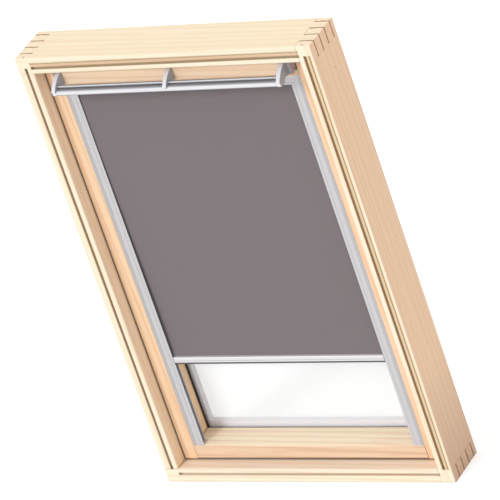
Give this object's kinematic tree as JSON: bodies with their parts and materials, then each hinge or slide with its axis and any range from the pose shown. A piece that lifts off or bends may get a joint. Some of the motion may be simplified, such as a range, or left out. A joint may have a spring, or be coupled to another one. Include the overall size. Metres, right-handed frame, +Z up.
{
  "type": "roof window with roller blackout blind",
  "caption": "Pine centre-pivot roof window with a hinged ventilation flap, control bar and a grey roller blackout blind running in aluminium side channels.",
  "frame": {"origin": "centre of the bounding box seen from above, at the foot of the frame's sill", "axes": "+Z up the window from sill to head, +Y from the room side to the weather side, +X to the right as seen from the room"},
  "size_m": [0.78, 0.1686, 1.178],
  "materials": {
    "pine": "clear-lacquered pine, fine long grain",
    "aluminium": "satin anodised extrusion",
    "grey_plastic": "moulded, fine matt texture",
    "steel": "zinc-plated",
    "rubber": "matt black EPDM",
    "spacer": "matt grey spacer and sealant",
    "glass": "clear float glass",
    "fabric": "coated blackout cloth, fine plain weave",
    "filter_felt": "needle felt"
  },
  "bodies": {
    "frame": {"frame_head": "pine", "frame_sill": "pine", "frame_jamb_left": "pine", "frame_jamb_right": "pine", "pivot_plate_left": "steel", "pivot_plate_right": "steel", "latch_keep": "steel"},
    "sash": {"sash_stile_left": "pine", "sash_stile_right": "pine", "sash_bottom_rail": "pine", "sash_top_rail": "pine", "pivot_bush_left": "grey_plastic", "pivot_bush_right": "grey_plastic", "weather_seal_left": "rubber", "weather_seal_right": "rubber", "weather_seal_bottom": "rubber", "weather_seal_top": "rubber", "vent_filter": "filter_felt", "flap_seal": "rubber", "inner_pane": "glass", "outer_pane": "glass", "spacer_left": "spacer", "spacer_right": "spacer", "spacer_bottom": "spacer", "spacer_top": "spacer", "glazing_gasket_left": "rubber", "glazing_gasket_right": "rubber", "glazing_gasket_bottom": "rubber", "glazing_gasket_top": "rubber", "glazing_strip_left": "aluminium", "glazing_strip_right": "aluminium", "glazing_strip_bottom": "aluminium", "glazing_strip_top": "aluminium", "latch_case": "steel", "flap_hinge_left": "steel", "flap_hinge_right": "steel", "cassette_housing": "aluminium", "cassette_fascia": "aluminium", "cassette_cap_left": "grey_plastic", "cassette_cap_right": "grey_plastic", "side_channel_left": "aluminium", "side_channel_right": "aluminium", "spring_rod": "steel", "roller_spring": "steel", "blind_fabric": "fabric"},
    "flap": {"vent_flap_board": "pine", "flap_cap_left": "grey_plastic", "flap_cap_right": "grey_plastic", "control_bar": "aluminium", "bar_arm_left": "grey_plastic", "bar_arm_middle": "grey_plastic", "bar_arm_right": "grey_plastic"},
    "latch": {"latch_bolt": "steel"},
    "blind_bar": {"bottom_bar": "aluminium", "bottom_bar_guide_left": "grey_plastic", "bottom_bar_guide_right": "grey_plastic"},
    "roller": {"roller_tube": "aluminium", "fabric_winding": "fabric", "idle_plug": "grey_plastic", "spring_plug": "grey_plastic"}
  },
  "joints": [
    {"name": "sash_pivot", "type": "hinge", "parent": "frame", "child": "sash", "pos_m": [0, 0.03265, 0.589], "axis": [1, 0, 0], "range_deg": [0, 160]},
    {"name": "flap_tilt", "type": "hinge", "parent": "sash", "child": "flap", "pos_m": [0, -0.02135, 1.101], "axis": [1, 0, 0], "range_deg": [0, 40]},
    {"name": "latch_throw", "type": "slide", "parent": "sash", "child": "latch", "axis": [0, 0, 1], "range_m": [0, 0.006]},
    {"name": "blind_slide", "type": "slide", "parent": "sash", "child": "blind_bar", "axis": [0, 0, 1], "range_m": [-0.222, 0.72], "deforming": ["blind_fabric"]},
    {"name": "roller_spin", "type": "hinge", "parent": "sash", "child": "roller", "pos_m": [0, 0.00145, 1.06675], "axis": [1, 0, 0], "range_deg": [-4600, 1420]}
  ],
  "couplings": [
    {"joint": "roller_spin", "follows": "blind_slide", "rad_per_m": -111.1}
  ]
}
